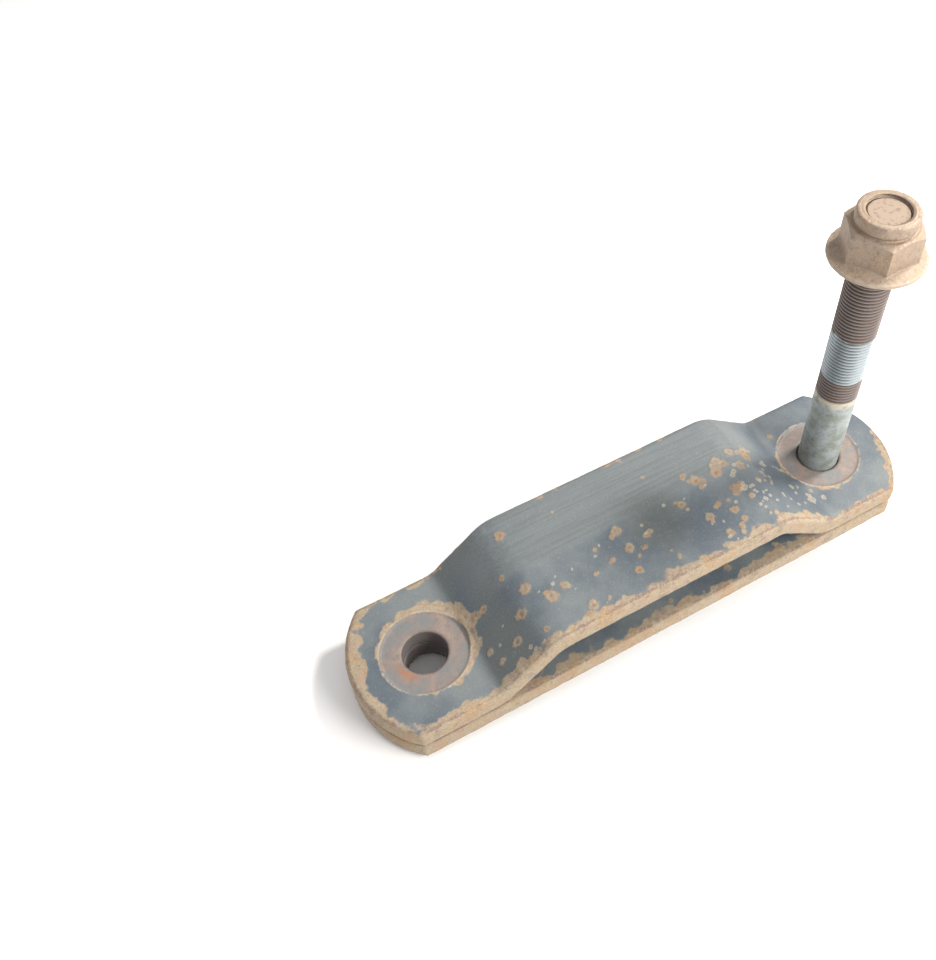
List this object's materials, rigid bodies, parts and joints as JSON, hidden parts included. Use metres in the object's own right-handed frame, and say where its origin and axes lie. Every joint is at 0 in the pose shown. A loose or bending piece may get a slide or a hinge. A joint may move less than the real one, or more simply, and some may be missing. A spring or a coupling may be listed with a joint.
{
  "type": "leaf spring shackle",
  "caption": "Leaf spring shackle: a flat and a cranked link plate stacked on one long flange bolt with its flange lock nut; the far eyes are free.",
  "frame": {"origin": "on the free eye's axis, in the plane where the two links meet", "axes": "+X along the links from the free eye to the bolt eye, +Z along both eye axes towards the nut"},
  "size_m": [0.235, 0.059, 0.1562],
  "materials": {
    "lower_link_paint": "grey-blue paint, rusted through along every edge",
    "upper_link_paint": "grey-blue paint with rust blisters and rusted edges",
    "bolt_zinc": "dull zinc plating, scratched, rusted at the thread",
    "nut_zinc": "tarnished zinc plating with tan rust"
  },
  "bodies": {
    "lower_link": {"lower_link": "lower_link_paint"},
    "upper_link": {"upper_link": "upper_link_paint"},
    "pivot_bolt": {"pivot_bolt": "bolt_zinc"},
    "flange_nut": {"flange_nut": "nut_zinc"}
  },
  "joints": [
    {"name": "upper_link_swing", "type": "hinge", "parent": "lower_link", "child": "upper_link", "pos_m": [0.178, 0, 0], "axis": [0, 0, 1], "continuous": true},
    {"name": "bolt_spin", "type": "hinge", "parent": "lower_link", "child": "pivot_bolt", "pos_m": [0.178, 0, 0], "axis": [0, 0, 1], "range_deg": [-4560, 15480]},
    {"name": "nut_travel", "type": "slide", "parent": "lower_link", "child": "flange_nut", "axis": [0, 0, 1], "range_m": [-0.0645, 0.019]}
  ],
  "couplings": [
    {"joint": "nut_travel", "follows": "bolt_spin", "m_per_rad": -0.00023873}
  ]
}
